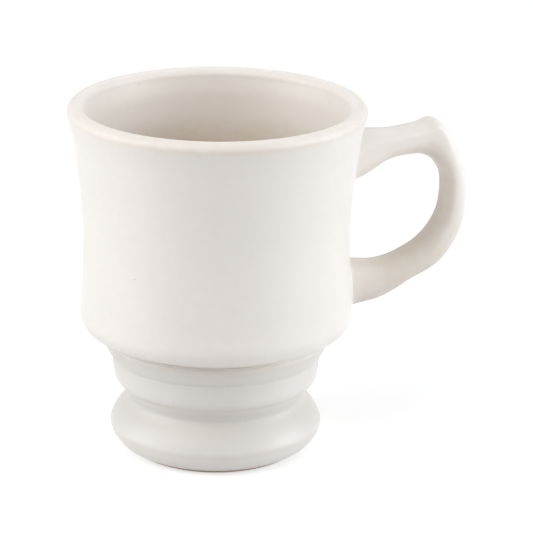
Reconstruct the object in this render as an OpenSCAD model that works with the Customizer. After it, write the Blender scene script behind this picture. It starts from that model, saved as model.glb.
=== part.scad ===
// Footed stoneware mug: a waisted cup on a stepped, hollow pedestal foot, with one strap handle.
// The mug stands on the plane z = 0, its axis is the z axis and the handle points along +x.
// Lengths are in millimetres.

/* [Cup] */
// Overall height of the mug
total_h = 108.4; // [104:0.2:116]
// Outer diameter at the rim
rim_d = 90; // [84:0.5:98]
// Height of the rolled lip above the rim's outer edge
lip_h = 2.5; // [1.5:0.1:4]
// Thickness of the rolled lip
lip_t = 5.2; // [4.6:0.1:7]
// Height over which the wall thickens into the lip
lip_blend_h = 8; // [4:0.5:14]
// How far the waist, the narrowest part of the wall, lies inside the rim
waist_inset = 4.55; // [3:0.05:7]
// Height of the waist above the cup's underside
waist_h = 26.9; // [20:0.1:34]
// How far the belly, low on the cup, stands out from the waist
belly_out = 0.9; // [0.2:0.1:4]
// Height of the belly above the cup's underside
belly_h = 6.2; // [4.5:0.1:9]
// Outer diameter of the cup's underside where it sits on the foot
cup_base_d = 67.8; // [64:0.2:72]
// Thickness of the wall
wall_t = 4.6; // [3:0.1:6]
// Thickness of the floor
floor_t = 5; // [3:0.5:9]
// Radius of the corner between the wall and the floor, inside
corner_r = 10; // [4:0.5:16]

/* [Pedestal foot] */
// Outer diameter of the foot where it meets the table
stand_d = 51.6; // [48:0.2:58]
// Radius of the worn edge there
stand_edge_r = 0.6; // [0.3:0.1:1.2]
// Outer diameter of the flared foot at its widest
foot_d = 64.8; // [60:0.2:74]
// Height of the flared foot's edge
foot_edge_z = 7.8; // [6:0.1:10]
// Height of the neck
neck_z = 17.2; // [15:0.1:20]
// How far the neck lies inside the rounded ring
neck_inset = 4.4; // [2.5:0.1:6]
// Height of the undercut above the neck
undercut_h = 2.6; // [1.5:0.1:4]
// How far the undercut lies inside the rounded ring
undercut_inset = 3.6; // [2.6:0.1:4.4]
// Height of the rounded ring, from its undercut to its groove
ring_h = 10; // [8:0.1:13]
// Height of the rounded ring's lower edge above its undercut
ring_edge_h = 1; // [0.6:0.1:2]
// How far that edge lies inside the rounded ring
ring_edge_inset = 2.9; // [1.4:0.1:3.2]
// How far the rounded ring lies inside the collar
ring_inset = 2.8; // [1.5:0.1:5]
// Height of the collar, from the groove to the cup
collar_h = 6.3; // [4.5:0.1:8]
// How far the collar stands out from the cup's underside
collar_out = 0.7; // [0.4:0.05:1.5]
// Height of the bead along the collar's upper edge
bead_h = 2.1; // [1:0.1:3]
// How far the bead stands out from the collar's face
bead_out = 0.5; // [0.2:0.05:1]
// Thickness of the pedestal's wall, measured level
pedestal_wall_t = 5; // [3.5:0.1:6.5]

/* [Pedestal slip seam] */
// Thickness of the slip between the foot and the cup
seam_t = 0.4; // [0.3:0.05:1.2]
// How far the slip is squeezed out at its foot
seam_squeeze = 0.2; // [0.1:0.05:0.6]

/* [Handle] */
// How far the handle stands out from the waist
handle_out = 41.2; // [34:0.2:50]
// Height of the lowest part of the handle above the cup's underside
handle_low_h = 2.7; // [2.6:0.1:5]
// How far the top of the thumb rest lies below the top of the mug
thumb_rest_drop = 10.8; // [9:0.2:18]
// Width of the handle at the grip
handle_w = 12; // [9:0.5:16]

/* [Handle slip joints] */
// Thickness of the slip between the handle's ends and the wall
slip_t = 0.5; // [0.3:0.05:1]
// How far the slip fillet climbs up the handle
fillet_h = 1.8; // [1.2:0.1:2.6]
// How far the slip fillet spreads over the wall
fillet_w = 1.6; // [1:0.1:2.4]

/* [Hidden] */
$fn = 256;

// How far a cut runs past the surface that it cuts
overrun = 0.5;

// Pieces of each smooth line between two of its stations
line_steps = 5;
// Steps of each rounded corner
arc_steps = 8;
// Sides of the handle's section
section_sides = 28;
// Rings of the handle between two of its stations
sweep_steps = 4;
// Steps of each slip fillet
fillet_steps = 4;
// Least advance of each ring of the handle from the wall, as a share of fillet_h
advance_share = 0.5;

// Stations of the cup's outer line, as [outward share, upward share] of the step they divide
turn_shares = [[0.49, 0.25], [0.82, 0.5]];
belly_shares = [[0.64, 0.24], [0.28, 0.59]];
flare_shares = [[0.02, 0.21], [0.155, 0.43], [0.38, 0.64], [0.63, 0.84]];

// Stations of the pedestal's outer line, as [outward share, upward share] of the step they divide
foot_under_shares = [[0.35, 0.15], [0.65, 0.37], [0.87, 0.65]];
foot_slope_shares = [[0.95, 0.17], [0.78, 0.36], [0.55, 0.55], [0.29, 0.72], [0.08, 0.87]];
ring_shares = [[0.32, 0.08], [0.57, 0.18], [0.77, 0.33], [0.88, 0.57], [0.96, 0.8]];
collar_shares = [[0.3, 0.19], [0.57, 0.45], [0.83, 0.74]];

// Where the hollow passes behind the rounded ring, as a share of the ring's height
hollow_ring_share = 0.65;

// Stations of the handle from its upper end to its lower end:
// [outward share of handle_out and upward share of handle_rise of the outer face,
//  the same two shares of the inner face,
//  place of the side edge, as a share of the way from the inner to the outer face,
//  width share of handle_w, powers that shape the outer and the inner face:
//  1 is an ellipse, less is a flatter face, more draws the side edge out thinner]
handle_shares = [
    [0.055, 0.985, 0.015, 0.68, 0.4, 1.17, 0.8, 1],
    [0.19, 0.98, 0.2, 0.745, 0.5, 1.07, 0.7, 0.95],
    [0.39, 0.965, 0.355, 0.805, 0.62, 1.02, 0.65, 0.9],
    [0.62, 0.98, 0.535, 0.82, 0.74, 1, 0.65, 0.85],
    [0.755, 0.995, 0.645, 0.81, 0.78, 1, 0.8, 0.7],
    [0.895, 0.86, 0.735, 0.765, 0.54, 0.95, 1, 0.9],
    [0.993, 0.665, 0.802, 0.665, 0.4, 0.87, 1, 1],
    [0.977, 0.42, 0.778, 0.495, 0.4, 0.87, 1, 1],
    [0.805, 0.22, 0.65, 0.365, 0.42, 0.93, 1.1, 1.1],
    [0.545, 0.125, 0.44, 0.285, 0.52, 1, 1.2, 1.2],
    [0.34, 0.055, 0.235, 0.26, 0.58, 1.05, 1.1, 1.1],
    [0.02, 0, 0.015, 0.29, 0.64, 1.23, 0.9, 1]
];

// Rings across each end of the handle, as shares of its outline
end_shares = [0.66, 0.33];
// Angle at which a slip fillet leaves the wall
fillet_start_angle = 20;

rim_r = rim_d / 2;
waist_r = rim_r - waist_inset;
belly_r = waist_r + belly_out;
cup_base_r = cup_base_d / 2;
rim_z = total_h - lip_h;

stand_r = stand_d / 2;
foot_r = foot_d / 2;
collar_r = cup_base_r + collar_out;
ring_r = collar_r - ring_inset;
neck_r = ring_r - neck_inset;
undercut_r = ring_r - undercut_inset;
undercut_z = neck_z + undercut_h;
groove_z = undercut_z + ring_h;
pedestal_h = groove_z + collar_h;

cup_base_z = pedestal_h + seam_t;
floor_z = cup_base_z + floor_t;
belly_z = cup_base_z + belly_h;
waist_z = cup_base_z + waist_h;

handle_low_z = cup_base_z + handle_low_h;
handle_rise = total_h - thumb_rest_drop - handle_low_z;

// One point of a smooth curve that passes through p1 and p2, for t from 0 to 1
function between(p0, p1, p2, p3, t) =
    (2 * p1 + (p2 - p0) * t + (2 * p0 - 5 * p1 + 4 * p2 - p3) * t * t
     + (3 * p1 - p0 - 3 * p2 + p3) * t * t * t) / 2;

// A smooth line through all the stations, with so many steps between two of them
function smooth_line(stations, steps) =
    let (last = len(stations) - 1,
         all = concat([2 * stations[0] - stations[1]], stations,
                      [2 * stations[last] - stations[last - 1]]))
    [for (i = [0 : last]) for (k = [0 : i < last ? steps - 1 : 0])
        k == 0 ? stations[i] : between(all[i], all[i + 1], all[i + 2], all[i + 3], k / steps)];

// Stations that divide the step from one corner of a line to the next
function divide(from, to, shares) =
    [for (s = shares) [from[0] + (to[0] - from[0]) * s[0], from[1] + (to[1] - from[1]) * s[1]]];

// The same, for shares whose outward part counts back from the second corner
function divide_back(from, to, shares) =
    [for (s = shares) [to[0] + (from[0] - to[0]) * s[0], from[1] + (to[1] - from[1]) * s[1]]];

// The cup's outer line, from its underside to the rim, as [radius, height]
cup_base = [cup_base_r, cup_base_z];
belly = [belly_r, belly_z];
waist = [waist_r, waist_z];
rim = [rim_r, rim_z];
cup_line = smooth_line(concat([cup_base], divide(cup_base, belly, turn_shares), [belly],
                              divide_back(belly, waist, belly_shares), [waist],
                              divide(waist, rim, flare_shares), [rim]), line_steps);
wall_table = [for (p = cup_line) [p[1], p[0]]];

// The wall's outer radius at a height
function wall_r(z) = lookup(z, wall_table);

// The wall's thickness at a height: it grows into the lip near the rim
function thickness(z) =
    wall_t + (lip_t - wall_t) * max(0, 1 - (rim_z - z) / lip_blend_h);

// The lip, from the rim's outer edge over the top to its inner edge
lip_line = [for (k = [1 : arc_steps * 2])
    [rim_r - lip_t / 2 + lip_t / 2 * cos(k * 90 / arc_steps), rim_z + lip_h * sin(k * 90 / arc_steps)]];

// The inside of the wall, from the lip down to the corner, then the corner and the floor
corner_z = floor_z + corner_r;
inner_line = [for (i = [len(cup_line) - 2 : -1 : 0])
    if (cup_line[i][1] > corner_z) [cup_line[i][0] - thickness(cup_line[i][1]), cup_line[i][1]]];
corner_line = [for (k = [0 : arc_steps])
    [wall_r(corner_z) - wall_t - corner_r * (1 - cos(k * 90 / arc_steps)),
     corner_z - corner_r * sin(k * 90 / arc_steps)]];

// The pedestal's outer line, from the face it stands on to the collar, as [radius, height]
stand = [stand_r, stand_edge_r];
foot_edge = [foot_r, foot_edge_z];
neck = [neck_r, neck_z];
undercut = [undercut_r, undercut_z];
ring_edge = [ring_r - ring_edge_inset, undercut_z + ring_edge_h];
groove = [ring_r, groove_z];
below_bead = [collar_r - bead_out, pedestal_h - bead_h];
stand_line = [for (k = [0 : arc_steps - 1])
    [stand_r - stand_edge_r * (1 - sin(k * 90 / arc_steps)), stand_edge_r * (1 - cos(k * 90 / arc_steps))]];
foot_line = smooth_line(concat([stand], divide(stand, foot_edge, foot_under_shares), [foot_edge],
                               divide_back(foot_edge, neck, foot_slope_shares),
                               [neck, undercut, ring_edge]), line_steps);
ring_line = smooth_line(concat([ring_edge], divide(ring_edge, groove, ring_shares), [groove]), line_steps);
collar_line = smooth_line(concat([groove], divide(groove, below_bead, collar_shares), [below_bead]),
                          line_steps);
bead_line = [for (k = [1 : arc_steps * 2])
    [collar_r - bead_out + bead_out * sin(k * 90 / arc_steps),
     pedestal_h - bead_h / 2 - bead_h / 2 * cos(k * 90 / arc_steps)]];

// The hollow inside the pedestal, from the collar down to the table
hollow_ring_z = undercut_z + (groove_z - undercut_z) * hollow_ring_share;
hollow_line = smooth_line([
    [collar_r - pedestal_wall_t, pedestal_h],
    [ring_r - pedestal_wall_t, hollow_ring_z],
    [neck_r - pedestal_wall_t, neck_z],
    [foot_r - pedestal_wall_t, foot_edge_z],
    [stand_r - pedestal_wall_t, 0]], line_steps);

// The handle's stations in real sizes:
// [outer x, outer z, inner x, inner z, place of the side edge, width, outer power, inner power]
handle_stations = [for (s = handle_shares)
    [waist_r + handle_out * s[0], handle_low_z + handle_rise * s[1],
     waist_r + handle_out * s[2], handle_low_z + handle_rise * s[3], s[4], handle_w * s[5], s[6], s[7]]];
handle_line = smooth_line(handle_stations, sweep_steps);
handle_last = len(handle_line) - 1;

// The outer face, the inner face and the side edge at one place of the handle, as [x, z]
function outer_of(at) = [at[0], at[1]];
function inner_of(at) = [at[2], at[3]];
function edge_of(at) = inner_of(at) + (outer_of(at) - inner_of(at)) * at[4];

// The handle's section at one place, grown all round, as points in space
function section(at, grow, share = 1) =
    let (edge = edge_of(at), through = outer_of(at) - inner_of(at), back = through / norm(through))
    [for (k = [0 : section_sides - 1])
        let (turn = k * 360 / section_sides,
             side = norm(cos(turn) > 0 ? outer_of(at) - edge : edge - inner_of(at)) + grow,
             power = cos(turn) > 0 ? at[6] : at[7],
             reach = sign(cos(turn)) * pow(abs(cos(turn)), power) * side * share)
        [edge[0] + back[0] * reach, (at[5] / 2 + grow) * sin(turn) * share, edge[1] + back[1] * reach]];

// A point moved along x onto the wall, or so far above it
function seated(p, lift) = [sqrt(pow(wall_r(p[2]) + lift, 2) - p[1] * p[1]), p[1], p[2]];
function seated_ring(ring, lift) = [for (p = ring) seated(p, lift)];

// A ring of the handle: its ends sit on the wall, and none of it goes into the wall
function handle_ring(i) =
    let (ring = section(handle_line[i], 0), from_end = min(i, handle_last - i))
    from_end == 0 ? seated_ring(ring, slip_t)
    : from_end == 1 ? seated_ring(ring, fillet_h)
    : [for (p = ring) [max(p[0], seated(p, fillet_h * (1 + (from_end - 1) * advance_share))[0]), p[1], p[2]]];

// Rings across an end of the handle, and the point in their middle, at a height above the wall
function end_rings(i, lift) =
    [for (s = end_shares) seated_ring(section(handle_line[i], 0, s), lift)];
function end_point(i, lift) =
    let (edge = edge_of(handle_line[i]))
    seated([edge[0], 0, edge[1]], lift);

function reverse(list) = [for (i = [len(list) - 1 : -1 : 0]) list[i]];

// Triangles that close a stack of rings of the same number of points between two end points
function stack_faces(rings, sides) = concat(
    [for (k = [0 : sides - 1]) [0, 1 + (k + 1) % sides, 1 + k]],
    [for (i = [0 : rings - 2]) for (k = [0 : sides - 1])
        [1 + i * sides + k, 1 + i * sides + (k + 1) % sides, 1 + (i + 1) * sides + k]],
    [for (i = [0 : rings - 2]) for (k = [0 : sides - 1])
        [1 + i * sides + (k + 1) % sides, 1 + (i + 1) * sides + (k + 1) % sides, 1 + (i + 1) * sides + k]],
    [for (k = [0 : sides - 1])
        [1 + rings * sides, 1 + (rings - 1) * sides + k, 1 + (rings - 1) * sides + (k + 1) % sides]]);

// A closed solid from a first point, a stack of rings and a last point
module stack(first, rings, last) {
    points = concat([first], [for (ring = rings) for (p = ring) p], [last]);
    polyhedron(points = points, faces = stack_faces(len(rings), section_sides), convexity = 6);
}

// The cup without its inside: the shape that the slip is pressed against
module cup_solid() {
    outer_lip = [for (k = [0 : arc_steps - 1]) lip_line[k]];
    rotate_extrude()
        polygon(concat([[0, cup_base_z]], cup_line, outer_lip, [[0, total_h]]));
}

// Slip between one end of the handle and the wall, squeezed out into a fillet all round
module slip_joint(end, next) {
    at = handle_line[end];
    fillet = [for (k = [0 : fillet_steps - 1])
        let (turn = fillet_start_angle + (90 - fillet_start_angle) * k / fillet_steps,
             climb = 1 - cos(turn),
             here = at + (handle_line[next] - at) * climb)
        seated_ring(section(here, fillet_w * (1 - sin(turn))), fillet_h * climb)];
    difference() {
        stack(end_point(end, -overrun),
              concat([seated_ring(section(at, fillet_w), -overrun)], fillet,
                     [handle_ring(next), handle_ring(end)], end_rings(end, slip_t)),
              end_point(end, slip_t));
        cup_solid();
    }
}

module cup_body() {
    color([0.93, 0.91, 0.88])
    rotate_extrude()
        polygon(concat([[0, cup_base_z]], cup_line, lip_line, inner_line, corner_line, [[0, floor_z]]));
}

module pedestal_foot() {
    color([0.86, 0.85, 0.82])
    rotate_extrude()
        polygon(concat(stand_line, foot_line, ring_line, collar_line, bead_line, hollow_line));
}

module pedestal_slip_seam() {
    seam_line = [for (k = [0 : arc_steps])
        [cup_base_r + seam_squeeze * (1 - sin(k * 90 / arc_steps)),
         pedestal_h + seam_t * (1 - cos(k * 90 / arc_steps))]];
    color([0.8, 0.78, 0.74])
    rotate_extrude()
        polygon(concat([[collar_r - pedestal_wall_t, pedestal_h]], seam_line,
                       [[collar_r - pedestal_wall_t, cup_base_z]]));
}

module handle() {
    color([0.92, 0.9, 0.86])
    stack(end_point(0, slip_t),
          concat(reverse(end_rings(0, slip_t)), [for (i = [0 : handle_last]) handle_ring(i)],
                 end_rings(handle_last, slip_t)),
          end_point(handle_last, slip_t));
}

module upper_handle_joint() {
    color([0.95, 0.93, 0.9])
    slip_joint(0, 1);
}

module lower_handle_joint() {
    color([0.95, 0.93, 0.9])
    slip_joint(handle_last, handle_last - 1);
}

cup_body();
pedestal_foot();
pedestal_slip_seam();
handle();
upper_handle_joint();
lower_handle_joint();
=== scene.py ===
"""Footed stoneware mug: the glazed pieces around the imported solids, the studio and the camera.

Lengths are in millimetres, as in the solids' source, and mm() turns them into metres. Only the lamps,
the floor and the noises of the glaze go by the metre. Angles are in degrees.
"""

import math

import bpy
from mathutils import Euler, Matrix, Vector, noise


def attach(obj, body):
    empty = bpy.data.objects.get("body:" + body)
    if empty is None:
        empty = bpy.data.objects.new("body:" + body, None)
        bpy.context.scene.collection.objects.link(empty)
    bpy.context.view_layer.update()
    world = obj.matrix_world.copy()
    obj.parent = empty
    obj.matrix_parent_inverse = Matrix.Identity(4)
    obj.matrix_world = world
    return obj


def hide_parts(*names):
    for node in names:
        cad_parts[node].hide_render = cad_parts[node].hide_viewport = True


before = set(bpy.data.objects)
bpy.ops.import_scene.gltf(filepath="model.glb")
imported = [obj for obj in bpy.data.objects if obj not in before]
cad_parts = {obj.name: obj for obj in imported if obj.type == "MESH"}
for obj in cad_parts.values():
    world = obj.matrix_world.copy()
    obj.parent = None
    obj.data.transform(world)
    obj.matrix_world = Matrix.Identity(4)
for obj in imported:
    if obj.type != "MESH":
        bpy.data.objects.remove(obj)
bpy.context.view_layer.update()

# Sizes of the cup
TOTAL_H = 108.4
RIM_R = 45.0
LIP_H = 2.5
LIP_T = 5.2
LIP_BLEND_H = 8.0
WAIST_INSET = 4.55
WAIST_H = 26.9
BELLY_OUT = 0.9
BELLY_H = 6.2
CUP_BASE_R = 33.9
WALL_T = 4.6
FLOOR_T = 5.0
CORNER_R = 10.0

# Sizes of the pedestal foot and its slip seam
STAND_R = 25.8
STAND_EDGE_R = 0.6
FOOT_R = 32.4
FOOT_EDGE_Z = 7.8
NECK_Z = 17.2
NECK_INSET = 4.4
UNDERCUT_H = 2.6
UNDERCUT_INSET = 3.6
RING_H = 10.0
RING_EDGE_H = 1.0
RING_EDGE_INSET = 2.9
RING_INSET = 2.8
COLLAR_H = 6.3
COLLAR_OUT = 0.7
BEAD_H = 2.1
BEAD_OUT = 0.5
PEDESTAL_WALL_T = 5.0
SEAM_T = 0.4
SEAM_SQUEEZE = 0.2

# Sizes of the handle and its slip joints. Its finer line swings 0.02 mm further out than the solid's
# would, so it reaches out that much less.
HANDLE_OUT = 41.18
HANDLE_LOW_H = 2.7
THUMB_REST_DROP = 10.8
HANDLE_W = 12.0
SLIP_T = 0.5
FILLET_H = 1.8
FILLET_W = 1.6

# Shapes of the lines, as shares of the steps that they divide
TURN_SHARES = [(0.49, 0.25), (0.82, 0.5)]
BELLY_SHARES = [(0.64, 0.24), (0.28, 0.59)]
FLARE_SHARES = [(0.02, 0.21), (0.155, 0.43), (0.38, 0.64), (0.63, 0.84)]
FOOT_UNDER_SHARES = [(0.35, 0.15), (0.65, 0.37), (0.87, 0.65)]
FOOT_SLOPE_SHARES = [(0.95, 0.17), (0.78, 0.36), (0.55, 0.55), (0.29, 0.72), (0.08, 0.87)]
RING_SHARES = [(0.32, 0.08), (0.57, 0.18), (0.77, 0.33), (0.88, 0.57), (0.96, 0.8)]
COLLAR_SHARES = [(0.3, 0.19), (0.57, 0.45), (0.83, 0.74)]
HOLLOW_RING_SHARE = 0.65

# Stations of the handle: outward and upward shares of its outer face and of its inner face,
# place of the side edge between them, width share, powers that shape the outer and the inner face
HANDLE_SHARES = [
    (0.055, 0.985, 0.015, 0.68, 0.4, 1.17, 0.8, 1),
    (0.19, 0.98, 0.2, 0.745, 0.5, 1.07, 0.7, 0.95),
    (0.39, 0.965, 0.355, 0.805, 0.62, 1.02, 0.65, 0.9),
    (0.62, 0.98, 0.535, 0.82, 0.74, 1, 0.65, 0.85),
    (0.755, 0.995, 0.645, 0.81, 0.78, 1, 0.8, 0.7),
    (0.895, 0.86, 0.735, 0.765, 0.54, 0.95, 1, 0.9),
    (0.993, 0.665, 0.802, 0.665, 0.4, 0.87, 1, 1),
    (0.977, 0.42, 0.778, 0.495, 0.4, 0.87, 1, 1),
    (0.805, 0.22, 0.65, 0.365, 0.42, 0.93, 1.1, 1.1),
    (0.545, 0.125, 0.44, 0.285, 0.52, 1, 1.2, 1.2),
    (0.34, 0.055, 0.235, 0.26, 0.58, 1.05, 1.1, 1.1),
    (0.02, 0, 0.015, 0.29, 0.64, 1.23, 0.9, 1),
]

# Fineness of the meshes
LINE_STEPS = 10
ARC_STEPS = 12
TURN_STEPS = 256
SWEEP_STEPS = 16
SECTION_SIDES = 64
FILLET_STEPS = 12

# Points across the cup's floor and its underside, as shares of their radii
FLOOR_SHARES = (0.8, 0.6, 0.4, 0.2)
UNDER_SHARES = (0.25, 0.5, 0.75, 0.9)

# The solid handle has four rings from one station to the next, and what happens near its ends is
# counted in those rings. Between the two free rings it lets go of the wall's curve. With each ring its
# least height above the wall grows by the clearing, a share of the fillet's height.
SOLID_RINGS = 4
RING_STEPS = SWEEP_STEPS // SOLID_RINGS
FREE_RINGS = (1.0, 3.0)
CLEARING = 0.5

# Rings that close an end of the handle, as shares of its section
END_SHARES = (0.75, 0.5, 0.25)

# The hand-made unevenness of the walls, and the length over which it changes
UNEVEN = 0.12
UNEVEN_LENGTH = 30.0

# Heights over which the walls become true circles: below the rim, above the cup's base, and at both
# ends of the pedestal
STEADY_RIM_H = LIP_BLEND_H / 2
STEADY_BASE_H = 3.0
STEADY_FOOT_H = 2.0

# Places worked out from the sizes
WAIST_R = RIM_R - WAIST_INSET
BELLY_R = WAIST_R + BELLY_OUT
RIM_Z = TOTAL_H - LIP_H
COLLAR_R = CUP_BASE_R + COLLAR_OUT
RING_R = COLLAR_R - RING_INSET
NECK_R = RING_R - NECK_INSET
UNDERCUT_R = RING_R - UNDERCUT_INSET
UNDERCUT_Z = NECK_Z + UNDERCUT_H
GROOVE_Z = UNDERCUT_Z + RING_H
PEDESTAL_H = GROOVE_Z + COLLAR_H
CUP_BASE_Z = PEDESTAL_H + SEAM_T
FLOOR_Z = CUP_BASE_Z + FLOOR_T
BELLY_Z = CUP_BASE_Z + BELLY_H
WAIST_Z = CUP_BASE_Z + WAIST_H
HANDLE_LOW_Z = CUP_BASE_Z + HANDLE_LOW_H
HANDLE_RISE = TOTAL_H - THUMB_REST_DROP - HANDLE_LOW_Z

# Marks of the glaze on the turned pieces. A band has the height of its middle, a width and a strength.
# A rise or a fade has the two heights that it lies between. All other values are strengths.
ARRIS_BAND = (RIM_Z + 0.2, 0.9, 0.42)
LIP_RISE = (RIM_Z, RIM_Z + 1.0)
LIP_WARM = 0.17
BASE_TURN_BAND = (CUP_BASE_Z + 2.2, 0.8, 0.3)
# Painted shade, warm and darker, deep inside the cup, fading out towards the rim:
INSIDE_FADE = (RIM_Z - 26.0, RIM_Z - 10.0)
INSIDE_PAINTED_SHADE = 0.9
FOOT_EDGE_BAND = (FOOT_EDGE_Z - 0.6, 0.5, 0.34)
RING_EDGE_BAND = (UNDERCUT_Z + RING_EDGE_H + 0.4, 0.5, 0.34)
BEAD_BAND = (PEDESTAL_H - BEAD_H / 2, 0.5, 0.34)
# Painted shade up the foot's slope into the neck, in the groove under the collar and on the collar
# under the bowl's overhang:
SLOPE_RISE = (FOOT_EDGE_Z - 0.5, FOOT_EDGE_Z + 2.5)
SLOPE_SHADE_DEEPENING = (FOOT_EDGE_Z, NECK_Z - 1.0)
SLOPE_PAINTED_SHADE = 0.45
NECK_FADE = (NECK_Z + 1.0, UNDERCUT_Z + 1.5)
GROOVE_SHADE_BAND = (GROOVE_Z + 0.2, 0.9, 0.4)
COLLAR_RISE = (GROOVE_Z - 4.0, GROOVE_Z + 1.0)
COLLAR_PAINTED_SHADE = 0.35
BARE_FADE = (0.35, 1.0)
# Light painted shade in the narrow parts of the pedestal's hollow:
HOLLOW_PAINTED_SHADE = 0.2
HOLLOW_BARE_FADE = (0.2, 2.0)

# Marks of the glaze on the handle. They change near its ends over so many rings of the solid, round
# its section by the cosine of the turn (1 on the outer face, -1 on the inner one), and along it by
# shares from its upper to its lower end. The thinning is what its ends lose of their warm marks.
END_RINGS = 6.0
END_THINNING = 0.5
# Painted shade near the handle's ends, where they meet the wall:
END_PAINTED_SHADE = 0.25
SIDE_EDGE_SPREAD = 0.28
SIDE_EDGE_WARM = 0.17
# Painted shade, warm and dark, on the handle's inner face, which faces the wall:
INNER_SPREAD = 0.6
INNER_SHADE_WARM = 0.44
# Painted shade, warm and darker, on the handle's lower arm:
LOW_ARM_RISE = (0.55, 0.8)
LOW_ARM_SHADE_WARM = 0.56
LOW_ARM_PAINTED_SHADE = 0.75

# Warm, painted-shade and bare marks of the plain glaze and of the slip joints, which get a little
# painted shade
PLAIN_MARKS = (0.0, 0.0, 0.0)
SLIP_JOINT_MARKS = (0.0, 0.25, 0.0)

# The attribute of the meshes that takes the marks to the material
MARKS_NAME = "glaze_marks"

# Colours of the glaze and the clay, linear
GLAZE = (0.885, 0.845, 0.798, 1.0)
GLAZE_DEEP = (0.870, 0.832, 0.788, 1.0)
# Warm tint of glaze thinned over edges, also used for the random mottle, and as painted shade inside
# the cup and on the handle's inner face and lower arm
GLAZE_WARM_AND_SHADE = (0.735, 0.600, 0.445, 1.0)
# Darker, greyer glaze that stands in as painted shade in creases, hollows and deep inside the cup
GLAZE_PAINTED_SHADE = (0.675, 0.642, 0.598, 1.0)
# The foot's glaze is greyer and darker than the cup's, partly its own colour and partly painted shade
# for the lower light under the bowl
FOOT_GLAZE = (0.805, 0.777, 0.739, 1.0)
FOOT_GLAZE_DEEP = (0.785, 0.761, 0.727, 1.0)
SPECK = (0.330, 0.270, 0.210, 1.0)
CLAY = (0.720, 0.520, 0.410, 1.0)
CLAY_DARK = (0.560, 0.380, 0.290, 1.0)

# Shares in which the layers of the glaze cover the ones below them
CLOUD_SHARE = 0.8
MOTTLE_SHARE = 0.06
PAINTED_SHADE_SHARE = 0.85
WARM_AND_SHADE_SHARE = 0.75
SPECK_SHARE = 0.4

# Noises of the glaze: how many to the metre, how detailed, and how far shifted from each other
CLOUD_NOISE = (55.0, 2.0, 0.0)
MOTTLE_NOISE = (420.0, 4.0, 1.0)
RAGGED_NOISE = (260.0, 3.0, 2.0)
GRAIN_NOISE = (2600.0, 3.0, 3.0)
PEEL_NOISE = (900.0, 2.0, 4.0)
NOISE_ROUGHNESS = 0.55
NOISE_SHIFT = (1.0, 0.7, 1.3)
WHITE_SEED = 0.0
FOOT_SEED = 7.0
SEAM_SEED = 11.0

# Ranges that a value is taken from and, where there are two, what they are turned into
FULL = (0.0, 1.0)
CLOUD_RANGE = (0.3, 0.7)
MOTTLE_RANGE = (0.35, 0.65)
RAGGED_WARM = ((0.3, 0.6), (0.35, 1.0))
RAGGED_BARE = ((0.3, 0.7), (-0.28, 0.28))
BARE_RANGE = (0.42, 0.62)

# Specks: cells to the metre, the share of cells that stay clean, and the radii in cells between
# which a speck fades out
SPECK_CELLS = 330.0
CLEAN_SHARE = 0.975
SPECK_FADE = ((0.04, 0.10), (1.0, 0.0))

# The shine: the range of the glaze's roughness, and how much rougher its warm edges and the clay are
GLAZE_IOR = 1.5
GLAZE_ROUGHNESS = (0.36, 0.46)
WARM_ROUGHER = 0.08
CLAY_ROUGHER = 0.42

# Small dents of the surface: their shares of the full height, which is in millimetres
PEEL_SHARE = 0.35
PINHOLE_SHARE = 0.8
GRAIN_SHARE = 0.9
DENT_H = 0.08
DENT_STRENGTH = 0.30

# The camera looks at a point on the mug from off the plane of its handle, as in the photograph
HANDLE_TURN = 19.5
CAMERA_AIM = (15.2, 0.0, 56.1)
CAMERA_DISTANCE = 911.7
CAMERA_YAW = 1.0
CAMERA_PITCH = 18.5
CAMERA_ROLL = 0.7
CAMERA_LENS = 202.9
CAMERA_SENSOR_W = 36.0
CAMERA_CLIP_START = 10.0
CAMERA_CLIP_END = 100000.0
CAMERA_AZIMUTH = -90.0 - HANDLE_TURN

# Lamps: azimuth counted from the camera to the right, elevation, size in metres, watts and colour
LAMP_DISTANCE = 1.2
TALL_PANEL = (0.9, 1.2)
LOW_PANEL = (0.9, 0.45)
COOL_LIGHT = (0.965, 1.0, 1.04)
WARM_LIGHT = (1.03, 1.0, 0.975)
LAMPS = [
    ("left_panel", -80.0, 28.0, TALL_PANEL, 3.0, COOL_LIGHT),
    ("left_low_panel", -80.0, 12.0, LOW_PANEL, 4.5, COOL_LIGHT),
    ("left_front_panel", -50.0, 50.0, TALL_PANEL, 7.0, WARM_LIGHT),
    ("right_panel", 90.0, 20.0, TALL_PANEL, 3.0, COOL_LIGHT),
    ("right_low_panel", 80.0, 12.0, LOW_PANEL, 6.0, COOL_LIGHT),
    ("right_high_panel", 80.0, 50.0, TALL_PANEL, 3.0, COOL_LIGHT),
    ("right_front_panel", 50.0, 20.0, TALL_PANEL, 1.5, WARM_LIGHT),
    ("front_panel", 0.0, 28.0, TALL_PANEL, 1.0, WARM_LIGHT),
    ("back_panel", 180.0, 50.0, TALL_PANEL, 3.0, WARM_LIGHT),
]

# The floor, in metres, and the white around it. The lift makes the floor read as white.
WHITE = (1.0, 1.0, 1.0, 1.0)
FLOOR_HALF = 1.0
FLOOR_COLOUR = (0.78, 0.78, 0.78, 1.0)
FLOOR_LIFT = 0.48


def mm(value):
    """Millimetres as metres."""
    return value * 0.001


def mix(a, b, share):
    return a + (b - a) * share


def smoothstep(low, high, value):
    """0 up to the low value and 1 from the high one, with a smooth step between them."""
    t = min(1.0, max(0.0, (value - low) / (high - low)))
    return t * t * (3.0 - 2.0 * t)


def bump(value, centre, width, strength):
    """A smooth hump, of so much strength at its centre, that has faded out a few widths away."""
    return strength * math.exp(-(((value - centre) / width) ** 2))


# Smooth lines

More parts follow.
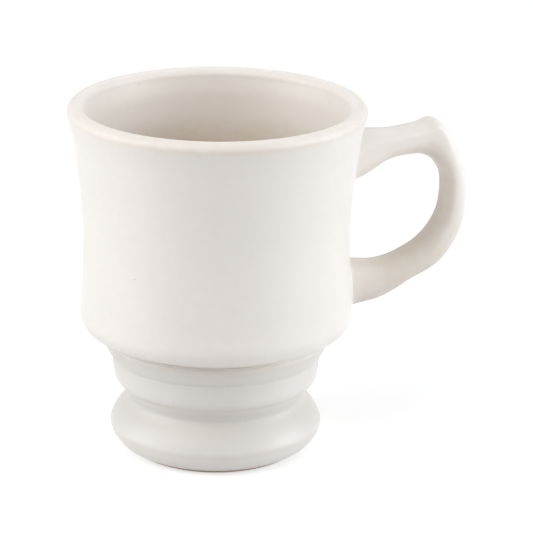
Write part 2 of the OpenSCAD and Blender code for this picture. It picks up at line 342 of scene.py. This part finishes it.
def between(p0, p1, p2, p3, t):
    """A point of a smooth curve through p1 and p2, for t from 0 to 1."""
    return tuple(
        (2 * b + (c - a) * t + (2 * a - 5 * b + 4 * c - d) * t * t
         + (3 * b - a - 3 * c + d) * t * t * t) / 2
        for a, b, c, d in zip(p0, p1, p2, p3))


def smooth_line(stations, steps):
    """A smooth line through all the stations, with so many steps between two of them."""
    before = tuple(2 * a - b for a, b in zip(stations[0], stations[1]))
    after = tuple(2 * a - b for a, b in zip(stations[-1], stations[-2]))
    ends = [before, *stations, after]
    line = [between(*ends[i:i + 4], k / steps)
            for i in range(len(stations) - 1) for k in range(steps)]
    return line + [stations[-1]]


def divide(start, end, shares):
    """Points at so many shares of the way out and up from the start to the end."""
    return [(mix(start[0], end[0], s), mix(start[1], end[1], t)) for s, t in shares]


def divide_back(start, end, shares):
    """The same, with the shares of the way out counted from the end."""
    return [(mix(end[0], start[0], s), mix(start[1], end[1], t)) for s, t in shares]


CUP_BASE = (CUP_BASE_R, CUP_BASE_Z)
BELLY = (BELLY_R, BELLY_Z)
WAIST = (WAIST_R, WAIST_Z)
RIM = (RIM_R, RIM_Z)
WALL_LINE = smooth_line(
    [CUP_BASE, *divide(CUP_BASE, BELLY, TURN_SHARES), BELLY, *divide_back(BELLY, WAIST, BELLY_SHARES),
     WAIST, *divide(WAIST, RIM, FLARE_SHARES), RIM], LINE_STEPS)


def wall_r(z):
    """The wall's outer radius at a height."""
    if z <= WALL_LINE[0][1]:
        return WALL_LINE[0][0]
    for (r0, z0), (r1, z1) in zip(WALL_LINE, WALL_LINE[1:]):
        if z <= z1:
            return mix(r0, r1, (z - z0) / (z1 - z0))
    return RIM_R


def arc(centre_r, centre_z, radius_r, radius_z, start, end, steps=ARC_STEPS):
    """Points of a rounded corner, from one angle to another."""
    angles = [math.radians(mix(start, end, k / steps)) for k in range(steps + 1)]
    return [(centre_r + radius_r * math.cos(a), centre_z + radius_z * math.sin(a)) for a in angles]


def cup_outline():
    """The cup's section, from the middle of its underside round the wall to the middle of its floor."""
    lip = arc(RIM_R - LIP_T / 2, RIM_Z, LIP_T / 2, LIP_H, 0, 180, 2 * ARC_STEPS)[1:]
    corner_z = FLOOR_Z + CORNER_R
    inner = [(r - mix(WALL_T, LIP_T, max(0.0, 1 - (RIM_Z - z) / LIP_BLEND_H)), z)
             for r, z in reversed(WALL_LINE[:-1]) if z > corner_z]
    floor_r = wall_r(corner_z) - WALL_T - CORNER_R
    corner = arc(floor_r, corner_z, CORNER_R, CORNER_R, 0, -90)
    floor = [(floor_r * s, FLOOR_Z) for s in FLOOR_SHARES]
    under = [(CUP_BASE_R * s, CUP_BASE_Z) for s in UNDER_SHARES]
    return [(0.0, CUP_BASE_Z), *under, *WALL_LINE, *lip, *inner, *corner, *floor, (0.0, FLOOR_Z)]


def pedestal_outline():
    """The pedestal's section: outside from the table up to the cup, then its hollow down again."""
    stand = (STAND_R, STAND_EDGE_R)
    foot_edge = (FOOT_R, FOOT_EDGE_Z)
    neck = (NECK_R, NECK_Z)
    undercut = (UNDERCUT_R, UNDERCUT_Z)
    ring_edge = (RING_R - RING_EDGE_INSET, UNDERCUT_Z + RING_EDGE_H)
    groove = (RING_R, GROOVE_Z)
    below_bead = (COLLAR_R - BEAD_OUT, PEDESTAL_H - BEAD_H)
    worn = arc(STAND_R - STAND_EDGE_R, STAND_EDGE_R, STAND_EDGE_R, STAND_EDGE_R, -90, 0)[:-1]
    foot = smooth_line(
        [stand, *divide(stand, foot_edge, FOOT_UNDER_SHARES), foot_edge,
         *divide_back(foot_edge, neck, FOOT_SLOPE_SHARES), neck, undercut, ring_edge], LINE_STEPS)
    ring = smooth_line([ring_edge, *divide(ring_edge, groove, RING_SHARES), groove], LINE_STEPS)
    collar = smooth_line([groove, *divide(groove, below_bead, COLLAR_SHARES), below_bead], LINE_STEPS)
    bead = arc(COLLAR_R - BEAD_OUT, PEDESTAL_H - BEAD_H / 2, BEAD_OUT, BEAD_H / 2, -90, 90)[1:]
    hollow_ring_z = mix(UNDERCUT_Z, GROOVE_Z, HOLLOW_RING_SHARE)
    hollow = smooth_line(
        [(COLLAR_R - PEDESTAL_WALL_T, PEDESTAL_H), (RING_R - PEDESTAL_WALL_T, hollow_ring_z),
         (NECK_R - PEDESTAL_WALL_T, NECK_Z), (FOOT_R - PEDESTAL_WALL_T, FOOT_EDGE_Z),
         (STAND_R - PEDESTAL_WALL_T, 0.0)], LINE_STEPS)
    return [*worn, *foot, *ring[1:], *collar[1:], *bead, *hollow]


def seam_outline():
    """The seam's section: a thin ring from the hollow out to the rounded edge of the squeezed slip."""
    inner_r = COLLAR_R - PEDESTAL_WALL_T
    edge_r = CUP_BASE_R + SEAM_SQUEEZE
    edge = arc(edge_r, CUP_BASE_Z - SEAM_T / 2, SEAM_SQUEEZE, -SEAM_T / 2, 90, -90)
    return [(inner_r, PEDESTAL_H), *edge, (inner_r, CUP_BASE_Z)]


# Meshes

def new_object(name, data):
    """A new object in the scene."""
    made = bpy.data.objects.new(name, data)
    bpy.context.scene.collection.objects.link(made)
    return made


def new_piece(name, points, faces, marks, material, node):
    """A shaded mesh in place of a solid. marks gives each point's warm, painted-shade and bare shares.
    """
    mesh = bpy.data.meshes.new(name)
    mesh.from_pydata([tuple(mm(c) for c in p) for p in points], [], faces)
    mesh.polygons.foreach_set("use_smooth", [True] * len(mesh.polygons))
    layer = mesh.attributes.new(MARKS_NAME, "FLOAT_COLOR", "POINT")
    layer.data.foreach_set("color", [c for m in marks for c in (*m, 1.0)])
    mesh.materials.append(material)
    piece = new_object(name, mesh)
    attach(piece, "root")
    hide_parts(node)


def uneven(r, z, turn):
    """How far the wall lies inside its true circle, as a hand-made wall does."""
    point = Vector((r * math.cos(turn), r * math.sin(turn), z)) / UNEVEN_LENGTH
    return UNEVEN / 2 * (1.0 + noise.noise(point))


def revolve(outline, mark, steady):
    """Points, faces and marks of an outline turned about z. An outline that starts on the axis ends
    there too, and any other one is closed into a ring. mark gives a point's marks, and steady is 1
    where the true circle is kept and 0 where the wall is uneven."""
    points, marks, rings = [], [], []
    for r, z in outline:
        sides = 1 if r == 0.0 else TURN_STEPS
        rings.append(range(len(points), len(points) + sides))
        for k in range(sides):
            turn = math.tau * k / TURN_STEPS
            inset = uneven(r, z, turn) * (1.0 - steady(z)) if r else 0.0
            points.append(((r - inset) * math.cos(turn), (r - inset) * math.sin(turn), z))
            marks.append(mark(r, z))
    pairs = list(zip(rings, rings[1:]))
    if len(rings[0]) > 1:
        pairs.append((rings[-1], rings[0]))
    faces = []
    for low, high in pairs:
        for k in range(TURN_STEPS):
            after = (k + 1) % TURN_STEPS
            if len(low) == 1:
                faces.append((low[0], high[after], high[k]))
            elif len(high) == 1:
                faces.append((low[k], low[after], high[0]))
            else:
                faces.append((low[k], low[after], high[after], high[k]))
    return points, faces, marks


def stack(first, rings, last):
    """Points and faces of a closed stack of rings between two end points."""
    points = [first, *[p for ring in rings for p in ring], last]
    end = len(points) - 1
    faces = [(0, 1 + (k + 1) % SECTION_SIDES, 1 + k) for k in range(SECTION_SIDES)]
    for i in range(len(rings) - 1):
        low, high = 1 + i * SECTION_SIDES, 1 + (i + 1) * SECTION_SIDES
        for k in range(SECTION_SIDES):
            after = (k + 1) % SECTION_SIDES
            faces.append((low + k, low + after, high + after, high + k))
    base = 1 + (len(rings) - 1) * SECTION_SIDES
    faces += [(end, base + k, base + (k + 1) % SECTION_SIDES) for k in range(SECTION_SIDES)]
    return points, faces


# The turned pieces

def steady_cup(z):
    """1 at the rim and at the cup's base, where it meets the seam, and 0 on the wall between them."""
    rim = smoothstep(RIM_Z - STEADY_RIM_H, RIM_Z, z)
    return max(rim, 1.0 - smoothstep(0.0, STEADY_BASE_H, z - CUP_BASE_Z))


def steady_foot(z):
    """1 on the table and under the seam, and 0 between them."""
    top = smoothstep(PEDESTAL_H - STEADY_FOOT_H, PEDESTAL_H, z)
    return max(1.0 - smoothstep(0.0, STEADY_FOOT_H, z), top)


def steady_seam(z):
    return 1.0


def cup_mark(r, z):
    """Warm where the glaze thins over the lip, its arris and the turn above the base, and painted
    shade, warm and darker, deep inside the cup."""
    if r > wall_r(z) - WALL_T / 2:
        lip = max(bump(z, *ARRIS_BAND), LIP_WARM * smoothstep(*LIP_RISE, z))
        return (max(lip, bump(z, *BASE_TURN_BAND)), 0.0, 0.0)
    # Painted shade deep inside the cup, warm and darker
    deep = 1.0 - smoothstep(*INSIDE_FADE, z)
    return (deep, INSIDE_PAINTED_SHADE * deep, 0.0)


def pedestal_mark(r, z):
    """Warm on the foot's edge, the ring's lower edge and the bead, and bare on the table. Painted shade
    darkens the slope up into the neck, the groove and the collar, and lightly the narrow parts of the
    hollow down to their bare end."""
    if r <= NECK_R - PEDESTAL_WALL_T / 2:
        return (0.0, HOLLOW_PAINTED_SHADE, 1.0 - smoothstep(*HOLLOW_BARE_FADE, z))
    warm = max(bump(z, *FOOT_EDGE_BAND), bump(z, *RING_EDGE_BAND), bump(z, *BEAD_BAND))
    slope = smoothstep(*SLOPE_RISE, z) * mix(SLOPE_PAINTED_SHADE, 1.0, smoothstep(*SLOPE_SHADE_DEEPENING, z))
    slope *= 1.0 - smoothstep(*NECK_FADE, z)
    # painted shade in the groove, on the collar and up the slope
    painted_shade = max(bump(z, *GROOVE_SHADE_BAND), slope, COLLAR_PAINTED_SHADE * smoothstep(*COLLAR_RISE, z))
    return (warm, painted_shade, 1.0 - smoothstep(*BARE_FADE, z))


def seam_mark(r, z):
    return PLAIN_MARKS


def make_cup(material):
    points, faces, marks = revolve(cup_outline(), cup_mark, steady_cup)
    new_piece("glazed_cup", points, faces, marks, material, "cup_body")


def make_pedestal(material):
    points, faces, marks = revolve(pedestal_outline(), pedestal_mark, steady_foot)
    new_piece("glazed_pedestal", points, faces, marks, material, "pedestal_foot")


def make_seam(material):
    points, faces, marks = revolve(seam_outline(), seam_mark, steady_seam)
    new_piece("glazed_pedestal_seam", points, faces, marks, material, "pedestal_slip_seam")


# The handle and its slip joints

HANDLE_LINE = smooth_line(
    [(WAIST_R + HANDLE_OUT * s[0], HANDLE_LOW_Z + HANDLE_RISE * s[1],
      WAIST_R + HANDLE_OUT * s[2], HANDLE_LOW_Z + HANDLE_RISE * s[3], s[4], HANDLE_W * s[5], s[6], s[7])
     for s in HANDLE_SHARES], SWEEP_STEPS)
HANDLE_LAST = len(HANDLE_LINE) - 1


def edge_of(at):
    """The middle of the handle's section, between its two side edges, as (x, z)."""
    outer_x, outer_z, inner_x, inner_z, side = at[:5]
    return (mix(inner_x, outer_x, side), mix(inner_z, outer_z, side))


def section(at, grow=0.0, share=1.0):
    """The handle's section between its inner and its outer face, grown all round."""
    outer_x, outer_z, inner_x, inner_z, side, width, outer_power, inner_power = at
    edge_x, edge_z = edge_of(at)
    thickness = math.hypot(outer_x - inner_x, outer_z - inner_z)
    back_x, back_z = (outer_x - inner_x) / thickness, (outer_z - inner_z) / thickness
    ring = []
    for k in range(SECTION_SIDES):
        turn = math.tau * k / SECTION_SIDES
        depth, power = (1 - side, outer_power) if math.cos(turn) > 0 else (side, inner_power)
        reach = math.copysign(abs(math.cos(turn)) ** power, math.cos(turn))
        reach = reach * (thickness * depth + grow) * share
        across = (width / 2 + grow) * math.sin(turn) * share
        ring.append((edge_x + back_x * reach, across, edge_z + back_z * reach))
    return ring


def seated(p, lift):
    """A point moved along x onto the wall, or so far above it."""
    return (math.sqrt((wall_r(p[2]) + lift) ** 2 - p[1] ** 2), p[1], p[2])


def seated_ring(ring, lift):
    return [seated(p, lift) for p in ring]


def handle_ring(i):
    """A ring of the handle. At its ends the rings follow the wall at a slip's thickness or more, and
    further in none of them goes into the wall."""
    ring = section(HANDLE_LINE[i])
    rings_in = min(i, HANDLE_LAST - i) / RING_STEPS
    if rings_in <= 1:
        return seated_ring(ring, mix(SLIP_T, FILLET_H, rings_in))
    lift = FILLET_H * (1 + (rings_in - 1) * CLEARING)
    free = smoothstep(*FREE_RINGS, rings_in)
    out = []
    for p in ring:
        low = seated(p, lift)[0]
        out.append((mix(low, max(p[0], low), free), p[1], p[2]))
    return out


def end_rings(i, lift):
    """The shrinking rings that close an end of the handle, so far above the wall."""
    return [seated_ring(section(HANDLE_LINE[i], 0.0, s), lift) for s in END_SHARES]


def end_point(i, lift):
    """The point in the middle of those rings."""
    x, z = edge_of(HANDLE_LINE[i])
    return seated((x, 0.0, z), lift)


def handle_mark(i, k):
    """Warm along the handle's two edges. Painted shade, warm on its inner face and warm and darker on
    its lower arm, and darker near its ends."""
    facing = math.cos(math.tau * k / SECTION_SIDES)
    near_end = 1.0 - smoothstep(0.0, END_RINGS, min(i, HANDLE_LAST - i) / RING_STEPS)
    edge = bump(facing, 0.0, SIDE_EDGE_SPREAD, SIDE_EDGE_WARM)
    # painted shade, warm, on the inner face
    inner = INNER_SHADE_WARM * smoothstep(0.0, INNER_SPREAD, -facing)
    low = smoothstep(*LOW_ARM_RISE, i / HANDLE_LAST)
    warm = max(edge, inner, LOW_ARM_SHADE_WARM * low) * (1.0 - END_THINNING * near_end)
    return (warm, max(END_PAINTED_SHADE * near_end, LOW_ARM_PAINTED_SHADE * low), 0.0)


def make_handle(material):
    rings = [handle_ring(i) for i in range(HANDLE_LAST + 1)]
    first, last = end_rings(0, SLIP_T), end_rings(HANDLE_LAST, SLIP_T)
    points, faces = stack(end_point(0, SLIP_T), [*reversed(first), *rings, *last],
                          end_point(HANDLE_LAST, SLIP_T))
    hidden = [PLAIN_MARKS] * (1 + SECTION_SIDES * len(END_SHARES))
    marks = [handle_mark(i, k) for i in range(HANDLE_LAST + 1) for k in range(SECTION_SIDES)]
    marks = [*hidden, *marks, *hidden]
    new_piece("glazed_handle", points, faces, marks, material, "handle")


def make_slip_joint(name, node, end, inward, material):
    """Slip squeezed out between one end of the handle and the wall into a fillet all round."""
    at, ahead = HANDLE_LINE[end], HANDLE_LINE[end + inward * RING_STEPS]
    fillet = []
    for k in range(FILLET_STEPS):
        turn = math.radians(90.0 * k / FILLET_STEPS)
        climb = 1 - math.cos(turn)
        here = tuple(mix(a, b, climb) for a, b in zip(at, ahead))
        fillet.append(seated_ring(section(here, FILLET_W * (1 - math.sin(turn))), FILLET_H * climb))
    shared = [handle_ring(end + inward * i) for i in range(RING_STEPS, -1, -1)]
    rings = [*reversed(end_rings(end, 0.0)), *fillet, *shared, *end_rings(end, SLIP_T)]
    points, faces = stack(end_point(end, 0.0), rings, end_point(end, SLIP_T))
    if inward < 0:
        faces = [tuple(reversed(f)) for f in faces]
    # Painted shade over the whole fillet, where the handle meets the wall
    marks = [SLIP_JOINT_MARKS] * len(points)
    new_piece(name, points, faces, marks, material, node)


# Materials

def node_of(tree, kind, inputs=None, **settings):
    """A new node with its settings and its unlinked inputs."""
    node = tree.nodes.new(kind)
    for key, value in settings.items():
        setattr(node, key, value)
    for key, value in (inputs or {}).items():
        node.inputs[key].default_value = value
    return node


def feed(tree, socket, value):
    """Links a node's output to an input, or sets the input to a plain value."""
    if isinstance(value, bpy.types.NodeSocket):
        tree.links.new(value, socket)
    else:
        socket.default_value = value


def noise_of(tree, place, seed, scale, detail, shift):
    """A noise over the piece's own place, so many to the metre."""
    offset = tuple((seed + shift) * share for share in NOISE_SHIFT)
    shifted = node_of(tree, "ShaderNodeVectorMath", {1: offset}, operation="ADD")
    tree.links.new(place, shifted.inputs[0])
    made = node_of(tree, "ShaderNodeTexNoise",
                   {"Scale": scale, "Detail": detail, "Roughness": NOISE_ROUGHNESS})
    tree.links.new(shifted.outputs[0], made.inputs["Vector"])
    return made.outputs["Fac"]


def ranged(tree, value, taken, given=FULL, smooth=False):
    """A value of one range turned into one of another."""
    made = node_of(tree, "ShaderNodeMapRange",
                   {"From Min": taken[0], "From Max": taken[1], "To Min": given[0], "To Max": given[1]},
                   interpolation_type="SMOOTHSTEP" if smooth else "LINEAR")
    tree.links.new(value, made.inputs["Value"])
    return made.outputs["Result"]


def mixed(tree, share, a, b):
    """A colour mixed from two, each a plain colour or a node's output."""
    made = node_of(tree, "ShaderNodeMix", data_type="RGBA")
    colours = [s for s in made.inputs if s.type == "RGBA"]
    for socket, value in zip((made.inputs[0], *colours), (share, a, b)):
        feed(tree, socket, value)
    return [s for s in made.outputs if s.type == "RGBA"][0]


def maths(tree, operation, a, b, clamp=False):
    made = node_of(tree, "ShaderNodeMath", operation=operation, use_clamp=clamp)
    for socket, value in zip(made.inputs, (a, b)):
        feed(tree, socket, value)
    return made.outputs[0]


def new_material(name):
    """A material with no nodes yet."""
    material = bpy.data.materials.new(name)
    material.use_nodes = True
    material.node_tree.nodes.clear()
    return material


def specks_of(tree, place):
    """1 in the middle of a few small round specks and 0 between them."""
    cells = node_of(tree, "ShaderNodeTexVoronoi", {"Scale": SPECK_CELLS, "Randomness": 1.0})
    tree.links.new(place, cells.inputs["Vector"])
    chance = node_of(tree, "ShaderNodeSeparateColor")
    tree.links.new(cells.outputs["Color"], chance.inputs[0])
    chosen = maths(tree, "GREATER_THAN", chance.outputs[0], CLEAN_SHARE)
    dot = ranged(tree, cells.outputs["Distance"], *SPECK_FADE, smooth=True)
    return maths(tree, "MULTIPLY", chosen, dot)


def marks_of(tree):
    """The warm, painted-shade and bare marks of a piece."""
    marks = node_of(tree, "ShaderNodeAttribute", attribute_name=MARKS_NAME)
    split = node_of(tree, "ShaderNodeSeparateColor")
    tree.links.new(marks.outputs["Color"], split.inputs[0])
    return split.outputs[:3]


def roughness_of(tree, mottle, warm, bare):
    """Satin all over, a little duller on the warm edges and matt on the clay."""
    rough = ranged(tree, mottle, FULL, GLAZE_ROUGHNESS)
    rough = maths(tree, "ADD", rough, maths(tree, "MULTIPLY", warm, WARM_ROUGHER))
    return maths(tree, "ADD", rough, maths(tree, "MULTIPLY", bare, CLAY_ROUGHER), clamp=True)


def dents_of(tree, peel, speck, grain, bare):
    """The normal of a faintly uneven glaze, with pinholes in its specks and grain on the clay."""
    height = maths(tree, "MULTIPLY", peel, PEEL_SHARE)
    height = maths(tree, "SUBTRACT", height, maths(tree, "MULTIPLY", speck, PINHOLE_SHARE))
    bare_grain = maths(tree, "MULTIPLY", maths(tree, "MULTIPLY", grain, bare), GRAIN_SHARE)
    height = maths(tree, "ADD", height, bare_grain)
    dents = node_of(tree, "ShaderNodeBump", {"Strength": DENT_STRENGTH, "Distance": mm(DENT_H)})
    tree.links.new(height, dents.inputs["Height"])
    return dents.outputs["Normal"]


def glaze_material(name, glaze, deep, seed):
    """Satin glaze over stoneware: cloudy, warm on the edges, darkened with painted shade in the
    creases, deep inside the cup and on the handle's inner face and lower arm, finely pinholed, and bare
    clay where the marks say so."""
    material = new_material(name)
    tree = material.node_tree
    place = node_of(tree, "ShaderNodeTexCoord").outputs["Object"]
    warm_and_shade_mark, shade_mark, bare_mark = marks_of(tree)

    cloud = ranged(tree, noise_of(tree, place, seed, *CLOUD_NOISE), CLOUD_RANGE)
    mottle = ranged(tree, noise_of(tree, place, seed, *MOTTLE_NOISE), MOTTLE_RANGE)
    ragged = noise_of(tree, place, seed, *RAGGED_NOISE)
    grain = noise_of(tree, place, seed, *GRAIN_NOISE)
    peel = noise_of(tree, place, seed, *PEEL_NOISE)
    speck = specks_of(tree, place)
    warm = maths(tree, "MULTIPLY", warm_and_shade_mark, ranged(tree, ragged, *RAGGED_WARM), clamp=True)
    edge = maths(tree, "ADD", bare_mark, ranged(tree, ragged, *RAGGED_BARE))
    bare = ranged(tree, edge, BARE_RANGE, smooth=True)

    layers = [
        (cloud, CLOUD_SHARE, deep),
        (mottle, MOTTLE_SHARE, GLAZE_WARM_AND_SHADE),
        # painted shade: darker, greyer glaze where the marks say so
        (shade_mark, PAINTED_SHADE_SHARE, GLAZE_PAINTED_SHADE),
        # warm glaze over thin edges, and warm painted shade inside the cup and on the handle
        (warm, WARM_AND_SHADE_SHARE, GLAZE_WARM_AND_SHADE),
        (speck, SPECK_SHARE, SPECK),
    ]
    colour = glaze
    for layer, share, tint in layers:
        colour = mixed(tree, maths(tree, "MULTIPLY", layer, share), colour, tint)
    colour = mixed(tree, bare, colour, mixed(tree, grain, CLAY, CLAY_DARK))

    shader = node_of(tree, "ShaderNodeBsdfPrincipled", {"IOR": GLAZE_IOR})
    tree.links.new(colour, shader.inputs["Base Color"])
    tree.links.new(roughness_of(tree, mottle, warm, bare), shader.inputs["Roughness"])
    tree.links.new(dents_of(tree, peel, speck, grain, bare), shader.inputs["Normal"])
    out = node_of(tree, "ShaderNodeOutputMaterial")
    tree.links.new(shader.outputs[0], out.inputs["Surface"])
    return material


# The studio

def camera_rays(tree):
    """1 for what the camera sees, straight or by a reflection or through glass, and 0 for light."""
    path = node_of(tree, "ShaderNodeLightPath")
    seen = maths(tree, "MAXIMUM", path.outputs["Is Camera Ray"], path.outputs["Is Glossy Ray"])
    return maths(tree, "MAXIMUM", seen, path.outputs["Is Transmission Ray"])


def floor_material():
    """Matt and pale, and lifted towards white for the camera alone."""
    material = new_material("pale_floor")
    tree = material.node_tree
    matt = node_of(tree, "ShaderNodeBsdfDiffuse", {"Color": FLOOR_COLOUR})
    lift = node_of(tree, "ShaderNodeEmission", {"Color": WHITE})
    tree.links.new(maths(tree, "MULTIPLY", camera_rays(tree), FLOOR_LIFT), lift.inputs["Strength"])
    both = node_of(tree, "ShaderNodeAddShader")
    tree.links.new(matt.outputs[0], both.inputs[0])
    tree.links.new(lift.outputs[0], both.inputs[1])
    out = node_of(tree, "ShaderNodeOutputMaterial")
    tree.links.new(both.outputs[0], out.inputs["Surface"])
    return material


def make_floor():
    """A plain floor that keeps the mug's shadow and reads as white where no shadow falls."""
    corners = [(-FLOOR_HALF, -FLOOR_HALF, 0), (FLOOR_HALF, -FLOOR_HALF, 0),
               (FLOOR_HALF, FLOOR_HALF, 0), (-FLOOR_HALF, FLOOR_HALF, 0)]
    mesh = bpy.data.meshes.new("floor")
    mesh.from_pydata(corners, [], [(0, 1, 2, 3)])
    mesh.materials.append(floor_material())
    new_object("floor", mesh)


def make_lamp(name, azimuth, elevation, size, watts, colour):
    """A soft panel that faces the mug's middle."""
    data = bpy.data.lights.new(name, "AREA")
    data.shape = "RECTANGLE"
    data.size, data.size_y = size
    data.energy = watts
    data.color = colour
    lamp = new_object(name, data)
    a = math.radians(CAMERA_AZIMUTH) + math.radians(azimuth)
    e = math.radians(elevation)
    aim = Vector((0.0, 0.0, mm(TOTAL_H) / 2))
    way = Vector((math.cos(a) * math.cos(e), math.sin(a) * math.cos(e), math.sin(e)))
    lamp.location = aim + way * LAMP_DISTANCE
    lamp.rotation_euler = way.to_track_quat("Z", "Y").to_euler()


def make_world():
    """White all round in what the camera sees. The lamps alone give light."""
    world = bpy.data.worlds.new("studio")
    bpy.context.scene.world = world
    world.use_nodes = True
    tree = world.node_tree
    tree.nodes.clear()
    white = node_of(tree, "ShaderNodeBackground", {"Color": WHITE})
    tree.links.new(camera_rays(tree), white.inputs["Strength"])
    out = node_of(tree, "ShaderNodeOutputWorld")
    tree.links.new(white.outputs[0], out.inputs["Surface"])


def make_camera():
    """A long lens. Its yaw, pitch and roll start from a view square to the handle's plane, and then
    the whole view is turned round the mug's axis."""
    data = bpy.data.cameras.new("camera")
    data.sensor_fit = "HORIZONTAL"
    data.sensor_width = CAMERA_SENSOR_W
    data.lens = CAMERA_LENS
    data.clip_start = mm(CAMERA_CLIP_START)
    data.clip_end = mm(CAMERA_CLIP_END)
    yaw, pitch, roll = (math.radians(a) for a in (CAMERA_YAW, CAMERA_PITCH, CAMERA_ROLL))
    ahead = Vector((math.sin(yaw) * math.cos(pitch), math.cos(yaw) * math.cos(pitch), -math.sin(pitch)))
    level = Vector((math.cos(yaw), -math.sin(yaw), 0.0))
    upright = level.cross(ahead)
    right = level * math.cos(roll) + upright * math.sin(roll)
    up = upright * math.cos(roll) - level * math.sin(roll)
    place = Vector(CAMERA_AIM) - ahead * CAMERA_DISTANCE
    turned = Euler((0.0, 0.0, math.radians(-HANDLE_TURN))).to_matrix()
    axes = Matrix([turned @ v for v in (right, up, -ahead)]).transposed()
    camera = new_object("camera", data)
    camera.matrix_world = Matrix.Translation(turned @ place * mm(1.0)) @ axes.to_4x4()
    bpy.context.scene.camera = camera


def build_mug():
    white = glaze_material("white_glaze", GLAZE, GLAZE_DEEP, WHITE_SEED)
    make_cup(white)
    make_pedestal(glaze_material("foot_glaze", FOOT_GLAZE, FOOT_GLAZE_DEEP, FOOT_SEED))
    # The seam takes the cup's lighter glaze and no marks: partly the white slip's own colour and partly
    # painted light that lifts the shade in the crease under the bowl
    make_seam(glaze_material("seam_glaze", GLAZE, GLAZE_DEEP, SEAM_SEED))
    make_handle(white)
    make_slip_joint("glazed_upper_joint", "upper_handle_joint", 0, 1, white)
    make_slip_joint("glazed_lower_joint", "lower_handle_joint", HANDLE_LAST, -1, white)


build_mug()
make_floor()
make_world()
for lamp in LAMPS:
    make_lamp(*lamp)
make_camera()
bpy.context.scene.view_settings.view_transform = "Standard"
